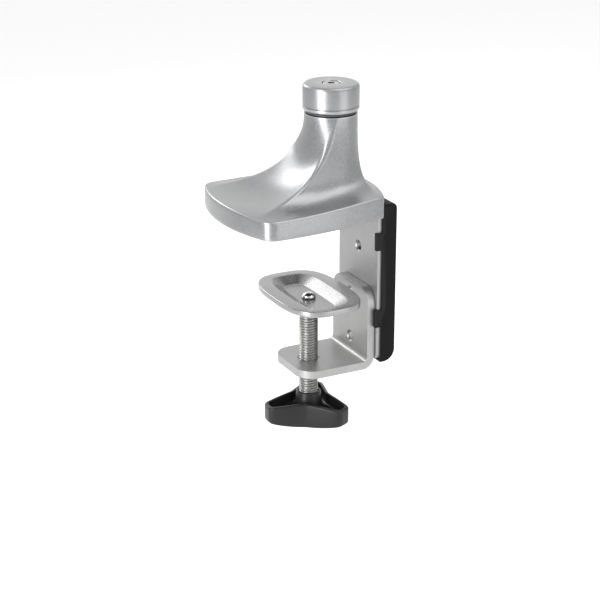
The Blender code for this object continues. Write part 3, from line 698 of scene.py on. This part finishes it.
def make_upper_bracket():
    top = FLANGE_BOTTOM + SHEET
    rear = DESK_EDGE_Y + SHEET
    half_width = UPPER_HIGH.x
    path, widths = [], []
    for reach, half in rounded_end(half_width, 6.0):
        path.append(((UPPER_LOW.y + reach, top), (UPPER_LOW.y + reach, FLANGE_BOTTOM)))
        widths.append(half)
    bend = bend_pairs((DESK_EDGE_Y - BEND_INNER_RADIUS, FLANGE_BOTTOM - BEND_INNER_RADIUS), 90, 0)
    path += bend
    widths += [half_width] * len(bend)
    for reach, half in reversed(rounded_end(half_width, 3.0)):
        path.append(((rear, UPPER_LOW.z + reach), (DESK_EDGE_Y, UPPER_LOW.z + reach)))
        widths.append(half)
    bracket = place("folded_upper_bracket", folded_strip(path, widths))
    for z in ADJUST_HOLES_Z:
        carve(bracket, tapped_hole(2.9, z, DESK_EDGE_Y))
    for x, y in FLANGE_SCREWS:
        profile = [(6.2, FLANGE_BOTTOM - 1), (6.2, FLANGE_BOTTOM + 0.3)]
        profile += [(3.2, FLANGE_BOTTOM + 3.2), (3.2, 9.0)]
        carve(bracket, moved(turned(profile, 48), x, y, 0))
    soften(bracket, 0.35, 3, 50)
    even_out(finish(bracket, BRACKET_SILVER, "bracket_silver", "root", "upper_bracket"))


def make_lower_bracket():
    rear = LOWER_HIGH.y
    front = rear - SHEET
    half_width = LOWER_HIGH.x
    path, widths = [], []
    for reach, half in rounded_end(half_width, 10.0):
        path.append(((rear, LOWER_HIGH.z - reach), (front, LOWER_HIGH.z - reach)))
        widths.append(half)
    bend = bend_pairs((front - BEND_INNER_RADIUS, PLATE_TOP + BEND_INNER_RADIUS), 0, -90)
    path += bend
    widths += [half_width] * len(bend)
    for reach, half in reversed(rounded_end(half_width, 12.0)):
        path.append(((LOWER_LOW.y + reach, LOWER_LOW.z), (LOWER_LOW.y + reach, PLATE_TOP)))
        widths.append(half)
    bracket = place("folded_lower_bracket", folded_strip(path, widths))
    for z in ADJUST_HOLES_Z[1:]:
        carve(bracket, tapped_hole(2.9, z, front))
    for side in (-1, 1):
        hole = turned([(1.6, -8.0), (1.6, 8.0)], 32)
        carve(bracket, moved(hole, side * PIN_HOLES[0], front + 2, PIN_HOLES[1], ALONG_Y))
    bore = turned([(6.9, -10.0), (6.9, 10.0)])
    carve(bracket, moved(bore, 0, SPINDLE_Y, PLATE_TOP - 3))
    soften(bracket, 0.45, 3, 50)
    even_out(finish(bracket, BRACKET_SILVER, "bracket_silver", "root", "lower_bracket"))


# ---------------------------------------------------------------- back cover


COVER_FRONT = 22.5
COVER_WALL = 1.8
COVER_SIDE_WALL = 1.15
COVER_ROUND_OVER = 1.2


def cover_profile(inset, front):
    """Side view of the cover as (y, z), with its rear top and rear bottom corners rounded."""
    rear = COVER_HIGH.y - inset
    top = COVER_HIGH.z - inset
    bottom = COVER_LOW.z + inset
    points = [(front, bottom), (front, top)]
    points += arc((rear - 3.5 + inset, top - 3.5 + inset), 3.5 - inset, 90, 0, 10)
    points += arc((rear - 8.0 + inset, bottom + 8.0 - inset), 8.0 - inset, 0, -90, 16)
    return points


def make_back_cover():
    half_width = COVER_HIGH.x
    front = COVER_FRONT
    rows = []
    for i in range(7):
        turn = math.radians(90 * i / 6)
        inset = COVER_ROUND_OVER * (1 - math.sin(turn))
        side = -(half_width - COVER_ROUND_OVER * (1 - math.cos(turn)))
        rows.append([(side, y, z) for y, z in cover_profile(inset, front)])
    rows += [[(-x, y, z) for x, y, z in row] for row in reversed(rows)]
    cover = place("moulded_back_cover", skin(rows))
    inner = half_width - COVER_SIDE_WALL
    carve(cover, prism_x(cover_profile(COVER_WALL, front - 6), inner))
    carve(cover, box((-inner, 0, 2), (inner, DESK_EDGE_Y + SHEET - 0.6, 20)))
    for side in (-1, 1):
        barb = side * (LOWER_HIGH.x + 0.4)
        tip = COVER_LOW.y
        clip = [
            (side * inner, front + 3.0),
            (side * inner, DESK_EDGE_Y - 0.35),
            (barb, DESK_EDGE_Y - 0.35),
            (barb, tip + 0.5),
            (barb + side * 0.5, tip),
            (side * (half_width - 0.4), tip),
            (side * half_width, tip + 0.4),
            (side * half_width, front + 3.0),
        ]
        for low, high in CLIP_SPANS:
            carve(cover, prism(clip, low, high), "UNION")
    soften(cover, 0.22, 2, 50)
    finish(cover, COVER_BLACK, "cover_black", "root", "back_cover")


# ---------------------------------------------------------------- screw clamp


def oval(half_length, half_depth, power, z, count=192):
    """A rounded oval, from an ellipse at power 2 towards a rectangle as the power grows."""
    points = []
    for i in range(count):
        a = math.tau * (i + 0.5) / count
        c, s = math.cos(a), math.sin(a)
        x = math.copysign(abs(c) ** (2 / power) * half_length, c)
        y = math.copysign(abs(s) ** (2 / power) * half_depth, s)
        points.append((x, SPINDLE_Y + y, z))
    return points


def rounded_rows(points, radii, steps=5):
    """Rounds the corners of a closed profile of (length, depth, power, z), as far as its legs allow."""
    rows = []
    count = len(points)
    for i, here in enumerate(points):
        here = Vector(here)
        back = Vector(points[i - 1]) - here
        ahead = Vector(points[(i + 1) % count]) - here
        back *= min(radii[i] / back.length, 0.45)
        ahead *= min(radii[i] / ahead.length, 0.45)
        for step in range(steps + 1):
            t = step / steps
            rows.append(tuple((here + back) * (1 - t) ** 2 + here * 2 * t * (1 - t) + (here + ahead) * t * t))
    return rows


def make_clamp_plate():
    length, depth, power = CLAMP_HALF_LENGTH, CLAMP_HALF_DEPTH, CLAMP_SQUARENESS
    floor = CLAMP_TOP - DISH_DEPTH
    edge = CLAMP_TOP - 3.6
    section = [
        (length, depth, power, CLAMP_TOP),
        (length, depth, power, edge),
        (*DISH_UNDER_RIM, edge),
        (*DISH_UNDER_FLOOR, floor - DISH_SHEET),
        (3.3, 3.3, 2.0, floor - DISH_SHEET),
        (3.3, 3.3, 2.0, floor),
        (*DISH_FLOOR, floor),
        (*DISH_RIM, CLAMP_TOP),
    ]
    radii = [0.9, 0.8, 2.0, 2.0, 0.2, 0.2, 1.0, 0.9]
    rows = [oval(*row) for row in rounded_rows(section, radii)]
    plate = place("stamped_clamp_plate", skin(rows, ring=True))
    finish(plate, PLATE_SILVER, "plate_silver", "pressure_plate", "clamp_plate", sharp=60)


def make_plate_rivet():
    floor = CLAMP_TOP - DISH_DEPTH + 0.3
    profile = [(2.9, -72.0), (2.9, floor), (4.2, floor), (4.35, floor + 0.15), (4.35, floor + 0.5)]
    for i in range(1, 15):
        a = math.radians(90 * i / 15)
        profile.append((4.35 * math.cos(a), floor + 0.5 + 2.9 * math.sin(a)))
    rivet = place("domed_rivet", moved(turned(profile, 72), 0, SPINDLE_Y, 0))
    finish(rivet, CHROME, "chrome", "clamp_screw", "plate_rivet", sharp=50)


def thread_height(phase):
    """Share of a thread's height across one pitch: a flat root, two flanks and a narrow crest."""
    wave = abs(2 * (phase % 1.0) - 1)
    return smooth((wave - 0.18) / 0.68)


def make_spindle():
    low = SPINDLE_LOW.z + 7.5
    high = SPINDLE_HIGH.z
    segments = 60
    rows_per_pitch = 12
    count = int((high - low) / THREAD_PITCH * rows_per_pitch)
    rows = []
    for k in range(count + 1):
        z = mix(low, high, k / count)
        fade = smooth((high - z) / 1.6) * smooth((z - low) / 1.6)
        row = []
        for i in range(segments):
            a = math.tau * i / segments
            root = THREAD_RADIUS - THREAD_DEPTH
            r = root + THREAD_DEPTH * thread_height(z / THREAD_PITCH - a / math.tau) * fade
            row.append((r * math.cos(a), SPINDLE_Y + r * math.sin(a), z))
        rows.append(row)
    spindle = place("threaded_spindle", skin(rows))
    carve(spindle, moved(prism(hexagon(18.0), SPINDLE_LOW.z, low + 0.2), 0, SPINDLE_Y, 0), "UNION")
    carve(spindle, moved(turned([(3.2, -72.4), (3.2, high + 2)], 48), 0, SPINDLE_Y, 0))
    finish(spindle, SPINDLE_STEEL, "spindle_steel", "clamp_screw", "spindle", sharp=50)


def knob_radius(angle, inset):
    """Distance from the knob's axis to its three-armed outline, shrunk by the inset."""
    sector = math.radians(120)
    off = abs((angle + sector / 2) % sector - sector / 2)
    waist = math.radians(60)
    soft = math.radians(9)
    off = waist - math.sqrt((waist - off) ** 2 + soft**2) + soft * (1 - off / waist) * 0.2
    end = (KNOB_REACH - inset) / max(math.cos(off), 0.2)
    waist_x, waist_y = KNOB_WAIST * math.cos(waist), KNOB_WAIST * math.sin(waist)
    run = Vector((KNOB_REACH - waist_x, KNOB_TIP_HALF - waist_y))
    normal = Vector((-run.y, run.x)).normalized()
    offset = normal.dot(Vector((KNOB_REACH, KNOB_TIP_HALF))) - inset
    side = offset / max(normal.dot(Vector((math.cos(off), math.sin(off)))), 0.05)
    power = 14
    return (end**-power + side**-power) ** (-1 / power)


KNOB_POINTS = 240


def knob_row(inset, height):
    row = []
    for i in range(KNOB_POINTS):
        a = math.tau * i / KNOB_POINTS
        r = knob_radius(a, inset)
        row.append((r * math.cos(a + KNOB_TURN), SPINDLE_Y + r * math.sin(a + KNOB_TURN), height(r)))
    return row


def knob_circle(radius, z):
    turns = (math.tau * i / KNOB_POINTS + KNOB_TURN for i in range(KNOB_POINTS))
    return [(radius * math.cos(a), SPINDLE_Y + radius * math.sin(a), z) for a in turns]


def make_knob():
    top = KNOB_HIGH.z
    bottom = top - 21.5

    def under(r):
        return bottom + 4.3 * (r / KNOB_REACH) ** 2

    def rim(r):
        return top - 4.6 - 1.7 * (r - KNOB_WAIST) / (KNOB_REACH - KNOB_WAIST)

    rows = []
    corner = 1.5
    for i in range(7):
        a = math.radians(15 * i)
        inset = corner * (1 - math.sin(a))
        rows.append(knob_row(inset, lambda r, a=a: under(r) + corner * (1 - math.cos(a))))
    for share in (0.33, 0.66):
        rows.append(knob_row(0.0, lambda r, s=share: mix(under(r) + corner, rim(r) - 0.9, s)))
    for i in range(7):
        a = math.radians(15 * i)
        rows.append(knob_row(0.9 * (1 - math.cos(a)), lambda r, a=a: rim(r) - 0.9 * (1 - math.sin(a))))
    for i in range(5):
        a = math.radians(22.5 * i)
        rows.append(knob_row(1.7 + 0.4 * math.sin(a), lambda r, a=a: rim(r) - 0.4 * (1 - math.cos(a))))
    rows.append(knob_row(2.5, lambda r: rim(r) - 5.5))
    for i in range(1, 5):
        a = math.radians(22.5 * i)
        rows.append(knob_row(2.5 + 1.4 * (1 - math.cos(a)), lambda r, a=a: rim(r) - 5.5 - 1.4 * math.sin(a)))
    hub = [(9.6, top - 10.6), (9.0, top - 10.2), (8.7, top - 9.4), (7.9, top - 1.0), (7.7, top - 0.35)]
    hub += [(7.3, top), (6.5, top), (6.2, top - 0.3), (6.2, bottom + 0.3), (6.5, bottom)]
    rows += [knob_circle(radius, z) for radius, z in hub]
    knob = place("three_arm_knob", skin(rows, ring=True))
    pocket = moved(prism(hexagon(18.7), bottom - 3, bottom + 9.6), 0, SPINDLE_Y, 0)
    carve(knob, pocket)
    finish(knob, KNOB_BLACK, "knob_black", "clamp_screw", "knob", sharp=40)


# ---------------------------------------------------------------- swivel head and fixings


GRUB_SCREW_Z = 67.5


def make_arm_hub():
    radius = HUB_HIGH.x
    low, high = HUB_LOW.z, HUB_HIGH.z
    profile = [(radius - 0.8, low), (radius - 0.25, low + 0.2), (radius, low + 0.8), (radius, low + 2.2)]
    profile += [(radius - 0.35, low + 2.4), (radius - 0.35, low + 2.9)]
    profile += [(radius, low + 3.1), (radius, high - 2.2)]
    profile += [(r, z) for r, z in arc((radius - 2.2, high - 2.2), 2.2, 9, 90, 9)]
    hub = place("swivel_hub", turned(profile, 144))
    bore = [(8.3, low - 3), (8.3, 72.4), (3.3, 72.4), (3.3, 75.0), (5.6, 75.0), (5.6, high - 0.3)]
    bore += [(5.9, high + 0.01), (5.9, high + 3)]
    carve(hub, turned(bore))
    carve(hub, moved(turned([(2.7, 6.0), (2.7, 24.0)], 40), 0, 0, GRUB_SCREW_Z, ALONG_Y))
    finish(hub, CAST_SILVER, "cast_silver", "arm_head", "arm_hub")


def make_hub_screw():
    low, high = node_box("hub_screw")
    profile = [(2.8, low.z), (2.8, 75.3), (5.0, 75.3), (5.2, 75.5)]
    knurl_top = high.z - 0.5
    profile += [(5.2, knurl_top), (4.95, high.z - 0.1), (4.6, high.z)]
    screw = place("socket_cap_screw", turned(profile, 72))
    carve(screw, prism(hexagon(4.0), high.z - 2.2, high.z + 2))
    finish(screw, ZINC_STEEL, "zinc_steel", "arm_head", "hub_screw")


def make_grub_screw():
    low, high = node_box("hub_grub_screw")
    profile = [(2.0, low.y), (2.4, low.y + 0.5), (2.4, high.y - 0.4), (2.0, high.y)]
    grub = place("grub_screw", moved(turned(profile, 48), 0, 0, GRUB_SCREW_Z, ALONG_Y))
    carve(grub, moved(prism(hexagon(2.5), 13.0, 20.0), 0, 0, GRUB_SCREW_Z, ALONG_Y))
    finish(grub, ZINC_STEEL, "zinc_steel", "arm_head", "hub_grub_screw")


def make_upper_bush():
    seat = 60.3
    high = BUSH_HIGH.z
    flange = BUSH_HIGH.x
    profile = [(8.3, BUSH_LOW.z), (10.0, BUSH_LOW.z), (10.0, seat)]
    profile += [(flange - 0.3, seat), (flange, seat + 0.3)]
    profile += [(flange, high - 0.3), (flange - 0.3, high), (8.3, high)]
    bush = place("flanged_bush", turned(profile, 96, ring=True))
    finish(bush, GREY_POLYMER, "grey_polymer", "root", "pivot_bush_upper")


def make_height_screws():
    for node in ("height_screw_upper", "height_screw_lower"):
        low, high = node_box(node)
        z = (low.z + high.z) / 2
        head = DESK_EDGE_Y + SHEET + 0.3
        profile = [(2.4, low.y - head), (2.8, low.y - head + 0.5), (2.8, 0.0), (5.0, 0.0)]
        profile += [(5.2, 0.2), (5.2, 1.6), (5.0, 2.3), (4.5, 2.9), (3.8, 3.2)]
        screw = place(f"pan_head_{node[13:]}", moved(turned(profile, 56), 0, head, z, ALONG_Y))
        for turn in (0, 90):
            slot = box((-2.6, -0.5, 1.6), (2.6, 0.5, 6.0))
            slot.transform(Matrix.Rotation(math.radians(turn), 4, "Z"))
            carve(screw, moved(slot, 0, head, z, ALONG_Y))
        finish(screw, ZINC_STEEL, "zinc_steel", "root", node)


def make_spindle_nut():
    profile = [(6.3, NUT_LOW.z), (9.1, NUT_LOW.z), (9.5, NUT_LOW.z + 0.4), (9.5, PLATE_TOP - SHEET - 0.3)]
    profile += [(6.6, PLATE_TOP - SHEET - 0.3), (6.6, NUT_HIGH.z), (6.2, NUT_HIGH.z), (6.2, NUT_LOW.z + 0.3)]
    nut = place("clinch_nut", moved(turned(profile, 96, ring=True), 0, SPINDLE_Y, 0))
    finish(nut, ZINC_STEEL, "zinc_steel", "root", "spindle_nut")


def dress(material, *nodes):
    """Gives carried-over CAD nodes a finished material."""
    for node in nodes:
        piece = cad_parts[node]
        piece.data.materials.clear()
        piece.data.materials.append(material)


# ---------------------------------------------------------------- stage, light and camera


def make_floor():
    shape = bmesh.new()
    bmesh.ops.create_grid(shape, x_segments=1, y_segments=1, size=6.0)
    data = bpy.data.meshes.new("floor")
    shape.to_mesh(data)
    shape.free()
    floor = bpy.data.objects.new("floor", data)
    floor.location = (0, 0, KNOB_LOW.z * MM - 0.10)
    bpy.context.scene.collection.objects.link(floor)
    paint = Paint("floor_white", (0.86, 0.86, 0.86), 0.9, 0.0)
    data.materials.append(paint.material)


def area_light(name, azimuth, elevation, distance, size, power, target=(0, -0.02, -0.03), size_y=None):
    """A soft panel that faces the target. Azimuth 0 is in front, over the desk, and 90 is at +X."""
    data = bpy.data.lights.new(name, "AREA")
    data.shape = "RECTANGLE"
    data.size = size
    data.size_y = size_y or size
    data.energy = power
    lamp = bpy.data.objects.new(name, data)
    a, e = math.radians(azimuth), math.radians(elevation)
    away = Vector((math.sin(a) * math.cos(e), -math.cos(a) * math.cos(e), math.sin(e)))
    lamp.location = Vector(target) + away * distance
    lamp.rotation_euler = away.to_track_quat("Z", "Y").to_euler()
    bpy.context.scene.collection.objects.link(lamp)


def make_lights():
    world = bpy.data.worlds.new("studio")
    bpy.context.scene.world = world
    world.use_nodes = True
    tree = world.node_tree
    background = tree.nodes["Background"]
    background.inputs["Color"].default_value = (1.0, 1.0, 1.0, 1.0)
    background.inputs["Strength"].default_value = 1.05
    area_light("strip", 25, -1, 0.55, 0.24, 2.2, size_y=0.42)
    area_light("strip_high", 14, 38, 0.7, 0.18, 1.9, size_y=0.42)
    area_light("left", -76, 28, 1.0, 0.44, 3.3)
    area_light("sky", -117, 22, 1.2, 0.8, 0.6)
    area_light("right", 116, 0, 0.6, 0.34, 0.6, size_y=0.46)
    area_light("top", 140, 62, 1.3, 1.1, 7.0)


def make_camera():
    data = bpy.data.cameras.new("camera")
    data.lens = VIEW_LENS
    data.sensor_width = 36
    data.clip_start = 0.05
    camera = bpy.data.objects.new("camera", data)
    a, e = math.radians(VIEW_AZIMUTH), math.radians(VIEW_ELEVATION)
    away = Vector((math.sin(a) * math.cos(e), -math.cos(a) * math.cos(e), math.sin(e)))
    right = Vector((math.cos(a), math.sin(a), 0))
    up = away.cross(right)
    rotation = Matrix((right, up, away)).transposed().to_4x4()
    spot = (Vector(VIEW_TARGET) + away * VIEW_DISTANCE) * MM
    camera.matrix_world = Matrix.Translation(spot) @ rotation
    bpy.context.scene.collection.objects.link(camera)
    bpy.context.scene.camera = camera


make_camera()
make_casting()
make_foot_pad()
make_upper_bracket()
make_lower_bracket()
make_back_cover()
make_clamp_plate()
make_plate_rivet()
make_spindle()
make_knob()
make_arm_hub()
make_hub_screw()
make_grub_screw()
make_upper_bush()
make_height_screws()
make_spindle_nut()
dress(ZINC_STEEL, "flange_screw_1", "flange_screw_2", "flange_screw_3", "flange_screw_4")
dress(ZINC_STEEL, "arm_post", "post_washer", "post_nut")
dress(GREY_POLYMER, "thrust_washer", "pivot_bush_lower")
make_floor()
make_lights()
bpy.context.scene.view_settings.view_transform = "Standard"
